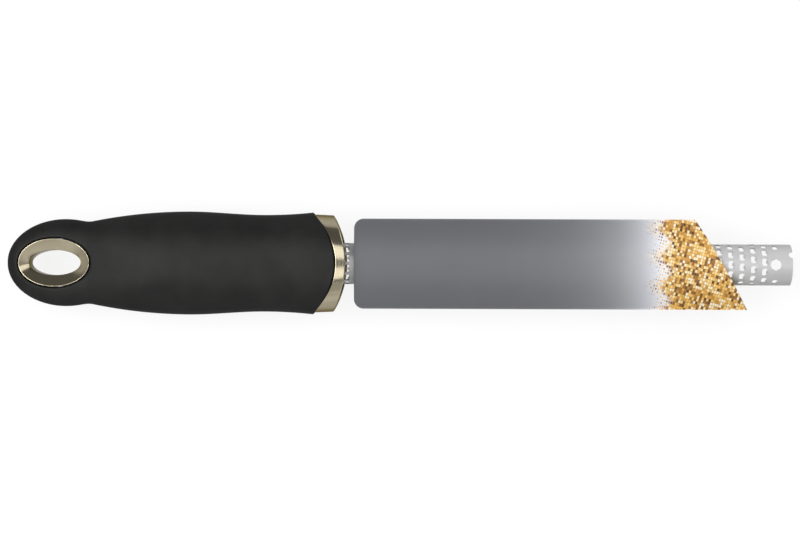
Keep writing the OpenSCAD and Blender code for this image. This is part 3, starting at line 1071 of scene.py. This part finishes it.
@dataclass(frozen=True)
class Blade:
    """Half-pipe rasp: rows of openings that turn from row to row, each under a raised cutting lip."""

    tool: ToolFrame
    radius: float = 6.4
    sheet_t: float = 0.5
    root: float = 72.5
    first_row: float = 106.3
    rows: int = 39
    pitch: float = 3.4995
    spacing: float = 29.2
    shift: float = 7.3
    phase: float = 15.2
    reach: float = 74.0
    turns: int = 20
    cell_steps: int = 8
    edge_clear: float = 0.6
    cell_margin: float = 1.5
    line_slack: float = 0.01
    open_back: float = -1.3
    open_front: float = 0.4
    open_half: float = 1.25
    open_power: float = 3.2
    lip_reach: float = 0.6
    lip_root: float = 0.3
    lip_half: float = 0.62
    lip_rise: float = 0.42
    lip_root_t: float = 0.25
    lip_edge_t: float = 0.08
    lip_sink: float = 0.02
    lip_narrow: float = 0.8
    lip_curl: float = 1.4
    lip_dip: float = 0.25
    lip_lines: int = 4
    hole_x: float = 238.8
    hole_d: float = 3.5
    hole_web: float = 0.45
    hole_behind: float = 0.45
    hole_ahead: float = 0.55
    notch_d: float = 2.4
    notch_angle: float = 30.0

    @property
    def tip(self) -> float:
        """Station of the blade's tip."""
        return self.tool.length

    @property
    def mm_per_degree(self) -> float:
        """Arc on the outer face that one degree spans."""
        return math.radians(self.radius)

    def build(self) -> list[bpy.types.Object]:
        """Makes and dresses the blade."""
        return [attach(self.rasp(), SatinSteel().material(), Body.HANDLE, "blade")]

    def straight_wall(self, x: Array, middle: Array | float, side: Array) -> Array:
        """Points of a wall that runs straight in beside the angle middle, at a distance side from it.

        Each is a station and the wall's angles on both faces: asin(side / radius) from the middle.

        Args:
            x: Stations.
            middle: Angle that the wall stands beside, in degrees.
            side: Distances from the plane through that angle.

        Returns:
            The points, as rows of a station and two angles.
        """
        inner = self.radius - self.sheet_t
        angles = [middle + np.degrees(np.arcsin(side / r)) for r in (self.radius, inner)]
        return np.stack([x, *angles], axis=-1)

    @staticmethod
    def on_pipe(x: Array, angle: Array, radius: Array | float) -> Array:
        """Points at stations x and angles in degrees from the crown towards +y, on a radius."""
        a = np.radians(angle)
        return np.stack([x, radius * np.sin(a), radius * np.cos(a)], axis=-1)

    def columns(self) -> Array:
        """Lengthwise lines: the lattice that every row's cells share, and the two edges.

        Returns:
            The lines' angles in degrees, from edge to edge.
        """
        step, start = self.spacing / self.cell_steps, self.phase + self.spacing / 2
        most = 90.0 - self.edge_clear
        numbers = np.arange(math.ceil((-most - start) / step), math.floor((most - start) / step) + 1)
        return np.concatenate([[-90.0], start + step * numbers, [90.0]])

    def bands(self) -> Array:
        """Bands along the blade: the tang, the rows and the tip.

        Returns:
            Stations of each band's start, middle and end.
        """
        starts = self.first_row + self.pitch * (np.arange(self.rows) - 0.5)
        ends = starts + self.pitch
        ends[-2] = starts[-1] = self.hole_x - self.hole_d / 2 - self.hole_behind
        ends[-1] = self.hole_x + self.hole_d / 2 + self.hole_ahead
        starts = np.concatenate([[self.root], starts, ends[-1:]])
        ends = np.concatenate([[starts[1]], ends, [self.tip]])
        return np.stack([starts, (starts + ends) / 2, ends], axis=-1)

    def teeth(self) -> tuple[Array, Array]:
        """All teeth: those within reach of the crown and clear of the round hole.

        Returns:
            Their row numbers and their angles in degrees.
        """
        row, k = np.meshgrid(np.arange(self.rows), np.arange(-self.turns, self.turns + 1), indexing="ij")
        whole = np.round(self.shift * row / self.spacing)
        angle = self.phase - self.shift * row + self.spacing * (k + whole)
        middle = self.first_row + self.pitch * row + (self.open_back + self.open_front) / 2
        apart = np.hypot(middle - self.hole_x, angle * self.mm_per_degree)
        kept = (np.abs(angle) <= self.reach) & (apart > self.hole_d / 2 + self.open_half + self.hole_web)
        return row[kept], angle[kept]

    @staticmethod
    def cell_loop(steps: int) -> tuple[Array, Array]:
        """Once round a cell.

        Args:
            steps: Cells of the lattice that it spans.

        Returns:
            Line numbers along the blade, from 0 to 2, and across it, from 0 to steps.
        """
        there = np.arange(steps + 1)
        along = np.concatenate([there * 0, [1], there * 0 + 2, [1]])
        return along, np.concatenate([there, [steps], there[::-1], [0]])

    @staticmethod
    def ring_quads(count: int, rings: int) -> Array:
        """Quads between an outer and an inner loop, for many such pairs.

        Args:
            count: Points of each loop.
            rings: Number of pairs.

        Returns:
            Point numbers of the quads.
        """
        here = np.arange(count)
        ahead = np.roll(here, -1)
        ring = np.stack([ahead, here, here + count, ahead + count], axis=-1)
        return (ring[None] + 2 * count * np.arange(rings)[:, None, None]).reshape(-1, 4)

    def rasp(self) -> bpy.types.Object:
        """Sheet and lips in one mesh.

        Returns:
            The piece.
        """
        shell = Shell()
        shell.add(*self.sheet())
        shell.add(*self.lips())
        return self.tool.piece("rasp_blade", *shell.mesh(), sharp_deg=35)

    def sheet(self) -> tuple[Array, Array]:
        """Pierced half-pipe.

        The sheet is laid out flat as station and angles on the outer and the inner face. Plain cells of the
        lattice are quads, and a cell with an opening is a ring of quads from its border to the opening's
        outline. The flat sheet is then rolled to both radii and closed.

        Returns:
            Points and quads.
        """
        columns, bands = self.columns(), self.bands()
        row, angle = self.teeth()
        band = row + 1
        start = np.searchsorted(columns, angle - self.spacing / 2 - self.line_slack)
        covered = np.zeros((len(bands), len(columns) - 1), bool)
        covered[band[:, None], start[:, None] + np.arange(self.cell_steps)] = True
        flat = Sheet()
        flat.openings(*self.tooth_cells(columns, bands, band, start, angle))
        hole_deg = math.degrees(math.asin(self.hole_d / 2 / self.radius)) + self.cell_margin
        low, high = np.searchsorted(columns, -hole_deg) - 1, np.searchsorted(columns, hole_deg)
        covered[-2, low:high] = True
        flat.openings(*self.hole_cell(columns, bands, low, high))
        reach = math.degrees(self.notch_d / 2 / self.radius) + self.cell_margin
        low = np.searchsorted(columns, self.notch_angle - reach) - 1
        high = np.searchsorted(columns, self.notch_angle + reach)
        covered[-1, low:high] = True
        flat.grid(self.notch_cell(columns, bands, low, high))
        across = columns[None, None, :]
        lines = np.stack(np.broadcast_arrays(bands[:, :, None], across, across), axis=-1)
        number = np.arange(lines[..., 0].size).reshape(lines.shape[:3])
        corners = [number[:, :-1, :-1], number[:, 1:, :-1], number[:, 1:, 1:], number[:, :-1, 1:]]
        plain = np.repeat(~covered[:, None, :], 2, axis=1)
        flat.add(lines, np.stack(corners, axis=-1)[plain])
        points, quads = flat.mesh()
        outer = self.on_pipe(points[:, 0], points[:, 1], self.radius)
        inner = self.on_pipe(points[:, 0], points[:, 2], self.radius - self.sheet_t)
        used = np.unique(quads)
        renumber = np.zeros(len(points), int)
        renumber[used] = np.arange(len(used))
        return thicken(points[used, :2], outer[used], inner[used], renumber[quads])

    def tooth_cells(
        self, columns: Array, bands: Array, band: Array, start: Array, angle: Array
    ) -> tuple[Array, Array]:
        """Borders of the tooth cells and the outlines of their openings.

        An opening is a superellipse about its middle, met at the same polar angle as the border point.

        Args:
            columns: Angles of the lengthwise lines.
            bands: Stations of the bands.
            band: Band number of each tooth.
            start: Number of the first line of each tooth's cell.
            angle: Angle of each tooth.

        Returns:
            Borders and outlines, one row of points for each tooth.
        """
        along, across = self.cell_loop(self.cell_steps)
        border_x = bands[band[:, None], along[None, :]]
        border_a = columns[start[:, None] + across[None, :]]
        x = self.first_row + self.pitch * (band - 1)[:, None]
        turn = np.arctan2(2 * (border_a - angle[:, None]) / self.spacing, 2 * (border_x - x) / self.pitch)
        half = (self.open_front - self.open_back) / 2
        p = 2 / self.open_power
        open_x = x + self.open_front - half + half * signed_power(np.cos(turn), p)
        outline = self.straight_wall(open_x, angle[:, None], self.open_half * signed_power(np.sin(turn), p))
        return np.stack([border_x, border_a, border_a], axis=-1), outline

    def hole_cell(self, columns: Array, bands: Array, low: int, high: int) -> tuple[Array, Array]:
        """Border of the cell round the tip hole, and the circle that is drilled straight down.

        Args:
            columns: Angles of the lengthwise lines.
            bands: Stations of the bands.
            low: Number of the cell's first line.
            high: Number of its last line.

        Returns:
            The border and the circle, each as one row of points.
        """
        along, across = self.cell_loop(high - low)
        border_x, border_a = bands[-2, along], columns[low + across]
        border_y = self.radius * np.sin(np.radians(border_a))
        turn = np.arctan2(border_y, border_x - self.hole_x)
        hole_x = self.hole_x + self.hole_d / 2 * np.cos(turn)
        outline = self.straight_wall(hole_x, 0.0, self.hole_d / 2 * np.sin(turn))
        return np.stack([border_x, border_a, border_a], axis=-1)[None], outline[None]

    def notch_cell(self, columns: Array, bands: Array, low: int, high: int) -> Array:
        """Strip from three sides of the tip cell to the half-circle bitten out of the tip edge.

        Args:
            columns: Angles of the lengthwise lines.
            bands: Stations of the bands.
            low: Number of the cell's first line.
            high: Number of its last line.

        Returns:
            Two rows of points: the three sides and the half-circle.
        """
        across = np.arange(low, high + 1)
        edge = np.array([2, 1])
        sides = np.concatenate([edge, 0 * across, edge[::-1]])
        border_x = bands[-1, sides]
        border_a = columns[np.concatenate([[low, low], across, [high, high]])]
        turn = np.linspace(0, math.pi, len(border_x))
        bite_x = self.tip - self.notch_d / 2 * np.sin(turn)
        bite = self.straight_wall(bite_x, self.notch_angle, -self.notch_d / 2 * np.cos(turn))
        return np.stack([np.stack([border_x, border_a, border_a], axis=-1), bite])

    def lips(self) -> tuple[Array, Array]:
        """Cutting lips: small slabs that rise from the front edge of an opening back over it.

        Across the lip v runs from -1 to 1 and along it u from 0 at the root to 1 at the edge. The outline
        narrows as the square root of 1 less a share of u cubed. The height grows with a power of u and dips
        towards the sides with v squared.

        Returns:
            Points and quads.
        """
        row, angle = self.teeth()
        count = self.lip_lines
        u, v = np.meshgrid(np.linspace(0, 1, count), np.linspace(-1, 1, count), indexing="ij")
        x = self.open_front + self.lip_root - u * (self.lip_root + self.lip_reach)
        arc = v * self.lip_half * np.sqrt(1 - self.lip_narrow * u**3)
        crown = self.radius - self.lip_sink + self.lip_rise * u**self.lip_curl * (1 - self.lip_dip * v * v)
        under = crown - (self.lip_root_t + (self.lip_edge_t - self.lip_root_t) * u)
        local_x = np.concatenate([x.ravel(), x.ravel()])
        local_arc = np.concatenate([arc.ravel(), arc.ravel()])
        height = np.concatenate([crown.ravel(), under.ravel()])
        at = self.first_row + self.pitch * row[:, None] + local_x[None, :]
        turned = angle[:, None] + local_arc[None, :] / self.mm_per_degree
        points = self.on_pipe(at, turned, np.broadcast_to(height, at.shape))
        quads = slab_quads(*u.shape)[None] + points.shape[1] * np.arange(len(row))[:, None, None]
        return points.reshape(-1, 3), quads.reshape(-1, 4)


class Sheet(Shell):
    """A shell that is laid out flat: station, and the angles on the outer and the inner face."""

    def openings(self, border: Array, outline: Array) -> None:
        """Adds a ring of quads between each border loop and its opening's outline."""
        self.add(np.stack([border, outline], axis=1), Blade.ring_quads(border.shape[1], border.shape[0]))


@dataclass(frozen=True)
class Sleeve:
    """Slide-on blade sleeve of two sheets that are sealed along both long edges."""

    tool: ToolFrame
    start: float = 108.1
    length: float = 106.0
    slant: float = 16.2
    width: float = 28.0
    corner: float = 3.0
    seam_w: float = 0.6
    seam_up: float = 3.0
    sheet_t: float = 0.5
    blade_r: float = 6.4
    lip_rise: float = 0.45
    slide_gap: float = 0.3
    crease: float = 0.25
    columns: int = 41
    lines: int = 97

    @property
    def seam_y(self) -> float:
        """Half-width between the sealed edges."""
        return self.width / 2 - self.seam_w

    def build(self) -> list[bpy.types.Object]:
        """Makes and dresses the two sheets.

        The front sheet's arc passes over the teeth, and the back sheet's arc passes under both edges of the
        blade. The radius follows from the half-width between the seams and the rise or drop.

        Returns:
            The front and the back sheet.
        """
        rise = self.blade_r + self.lip_rise + self.slide_gap - self.seam_up
        front_r = (self.seam_y**2 + rise**2) / (2 * rise)
        drop = self.seam_up + self.slide_gap
        rest = (self.seam_y**2 - self.blade_r**2 - drop**2) / (2 * drop)
        back_r = math.hypot(self.seam_y, rest)
        front = self.sheet("sleeve_front_sheet", front_r, rise, 1)
        back = self.sheet("sleeve_back_sheet", back_r, back_r - rest, -1)
        return [
            attach(front, PrintedSheet().material(), Body.SLEEVE, "sleeve_front"),
            attach(back, PlainSheet().material(), Body.SLEEVE, "sleeve_back"),
        ]

    def plan(self) -> tuple[Array, Array]:
        """The sheet's grid from above: round corners by the handle, a slanted far end.

        Returns:
            Stations and widths.
        """
        y = cosine_steps(-self.width / 2, self.width / 2, self.lines)[None, :]
        past = np.clip(np.abs(y) - (self.width / 2 - self.corner), 0, self.corner)
        left = self.start + self.corner - np.sqrt(self.corner**2 - past**2)
        right = self.start + self.length + self.slant * (0.5 - y / self.width)
        u = np.linspace(0, 1, self.columns)[:, None]
        return left + (right - left) * u, np.broadcast_to(y, (self.columns, self.lines))

    def sheet(self, name: str, radius: float, rise: float, up: int) -> bpy.types.Object:
        """One sheet: an arc of this radius and rise over the seam plane, with flat sealed edges.

        The larger of the arc and the flat counts, with a rounded crease between them.

        Args:
            name: Name of the piece.
            radius: Radius of the inner face.
            rise: Height of the inner face over the seam plane.
            up: 1 for the front sheet, -1 for the back sheet.

        Returns:
            The piece.
        """
        x, y = self.plan()
        faces = []
        for t in (self.sheet_t, 0.0):
            arc = rise - radius + np.sqrt((radius + t) ** 2 - y * y)
            height = soft_max(arc, np.full_like(arc, t), self.crease)
            faces.append(np.stack([x, y, self.seam_up + up * height], axis=-1).reshape(-1, 3))
        faces[1][:, 2] = np.where(
            np.abs(faces[1][:, 1]) > self.seam_y + self.crease, self.seam_up, faces[1][:, 2]
        )
        return self.tool.piece(name, np.vstack(faces), slab_quads(*x.shape), sharp_deg=35)


@dataclass(frozen=True)
class Softbox:
    """An area lamp: its name, its place and its two sides in metres, and its power in watts."""

    name: str
    place: Vector3
    size: tuple[float, float]
    power: float


@dataclass(frozen=True)
class Studio:
    """Plain pale floor, soft boxes on both sides of the camera, and the camera straight above."""

    tool: ToolFrame
    distance: float = 647.0
    view_w: float = 250.0
    sensor: float = 36.0
    centre: tuple[float, float] = (0.36, -0.86)
    roll_deg: float = 0.2
    floor_size: float = 12.0
    floor_colour: Colour = (0.16, 0.16, 0.16)
    floor_glow: float = 0.85
    sky: float = 0.08
    haze: float = 0.12
    wall: float = 1.0
    wall_way: Vector3 = (0.3, -0.95, 0.0)
    wall_edge: tuple[float, float] = (-0.6, 0.6)
    wall_top: tuple[float, float] = (0.35, 0.65)
    sweep: float = 0.66
    sweep_top: tuple[float, float] = (0.12, 0.18)
    lamps: tuple[Softbox, ...] = (
        Softbox("softbox_far", (0.0, 0.23, 0.78), (1.0, 0.33), 2.55),
        Softbox("softbox_near", (0.0, -0.185, 0.795), (1.0, 0.27), 2.1),
        Softbox("softbox_low", (0.0, -0.56, 0.58), (1.0, 0.45), 0.8),
        Softbox("softbox_loop", (-0.42, 0.04, 0.60), (0.30, 0.30), 2.1),
        Softbox("softbox_tip", (0.2, 0.25, 0.12), (0.2, 0.2), 0.25),
    )

    def build(self) -> None:
        """Sets the colour view, the camera, the floor and the lights."""
        bpy.context.scene.view_settings.view_transform = "Standard"
        self.camera()
        self.floor()
        self.world()
        for lamp in self.lamps:
            self.hang(lamp)

    def camera(self) -> None:
        """Camera straight above the blade's edge plane, as far away as the photo was taken from."""
        data = bpy.data.cameras.new("camera")
        data.sensor_width = self.sensor
        data.lens = self.sensor * self.distance / self.view_w
        made = bpy.data.objects.new("camera", data)
        height = self.tool.edge_height + self.distance
        made.location = (self.centre[0] * MM, self.centre[1] * MM, height * MM)
        made.rotation_euler = (0.0, 0.0, math.radians(self.roll_deg))
        bpy.context.scene.collection.objects.link(made)
        bpy.context.scene.camera = made

    def floor(self) -> None:
        """Pale floor: white to the camera and in reflections, with some plain floor for the shadow."""
        half = self.floor_size / 2
        mesh = bpy.data.meshes.new("floor")
        corners = [(-half, -half, 0), (half, -half, 0), (half, half, 0), (-half, half, 0)]
        mesh.from_pydata(corners, [], [(0, 1, 2, 3)])
        made = bpy.data.objects.new("floor", mesh)
        bpy.context.scene.collection.objects.link(made)
        shader, material = Shader.of_material("pale_floor")
        seen = shader.seen_rays()
        plain = shader.node("ShaderNodeBsdfDiffuse", None, {"Color": (*self.floor_colour, 1.0)})
        glow = shader.node("ShaderNodeEmission", None, {"Strength": seen * self.floor_glow})
        sockets = {0: plain.outputs[0], 1: glow.outputs[0]}
        shader.output(shader.node("ShaderNodeAddShader", None, sockets).outputs[0])
        mesh.materials.append(material)

    def world(self) -> None:
        """Dim surroundings, a white sweep low round the floor, and one white wall.

        The wall stands where a ray runs its way and not far upward.
        """
        world = bpy.data.worlds.new("studio")
        bpy.context.scene.world = world
        world.use_nodes = True
        shader = Shader(world.node_tree)
        way = shader.node("ShaderNodeTexCoord").outputs["Generated"]
        dot = shader.node("ShaderNodeVectorMath", {"operation": "DOT_PRODUCT"}, {0: way, 1: self.wall_way})
        height = shader.field(shader.node("ShaderNodeSeparateXYZ", None, {0: way}).outputs[2])
        facing = shader.field(dot.outputs["Value"]).step(*self.wall_edge)
        white = facing * (1.0 - height.step(*self.wall_top))
        sweep = self.sweep * (1.0 - height.step(*self.sweep_top))
        strength = self.sky + shader.seen_rays() * (self.haze + (self.wall * white).at_least(sweep))
        sockets = {"Color": (1.0, 1.0, 1.0, 1.0), "Strength": strength}
        sky = shader.node("ShaderNodeBackground", None, sockets)
        shader.output(sky.outputs[0], "ShaderNodeOutputWorld")

    def hang(self, lamp: Softbox) -> None:
        """Hangs an area lamp that looks at the middle of the tool, with its first side along the tool.

        Args:
            lamp: The lamp.
        """
        data = bpy.data.lights.new(lamp.name, "AREA")
        data.shape = "RECTANGLE"
        data.size, data.size_y = lamp.size
        data.energy = lamp.power
        made = bpy.data.objects.new(lamp.name, data)
        made.location = lamp.place
        back = Vector(lamp.place).normalized()
        along = (Vector((1, 0, 0)) - back * back.x).normalized()
        made.rotation_euler = Matrix((along, back.cross(along), back)).transposed().to_euler()
        bpy.context.scene.collection.objects.link(made)


def attach(
    piece: bpy.types.Object, material: bpy.types.Material, body: Body, node: str
) -> bpy.types.Object:
    """Gives a piece its material, its body and the solid that it stands for.

    Args:
        piece: The new piece.
        material: Its finish.
        body: The body that it moves with.
        node: The solid that it replaces.

    Returns:
        The piece.
    """
    piece.data.materials.append(material)
    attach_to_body(piece, body.value)
    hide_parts(node)
    return piece


def dress_solids() -> None:
    """Gives the solids that stay in view, or inside, their procedural materials."""
    plastic, steel = MouldedPlastic().material(), SatinSteel(name="pin_steel").material()
    finishes = {"core_upper": plastic, "core_lower": plastic, "nose_cap": plastic, "tang_pin": steel}
    for name, material in finishes.items():
        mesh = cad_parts[name].data
        mesh.materials.clear()
        mesh.materials.append(material)
        LOG.info("solid %s: %s", name, material.name)


def main() -> None:
    """Builds the sub-assemblies and the studio."""
    logging.basicConfig(level=logging.INFO, format="%(name)s: %(message)s")
    low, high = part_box("grip")
    length = (CAD_BOX[1].x - CAD_BOX[0].x) / MM
    tool = ToolFrame(length, (low.z + high.z) / 2 / MM)
    for assembly in (Handle(tool), Blade(tool), Sleeve(tool)):
        for piece in assembly.build():
            LOG.info("piece %s: %d faces", piece.name, len(piece.data.polygons))
    dress_solids()
    Studio(tool).build()


if __name__ == "__main__":
    main()
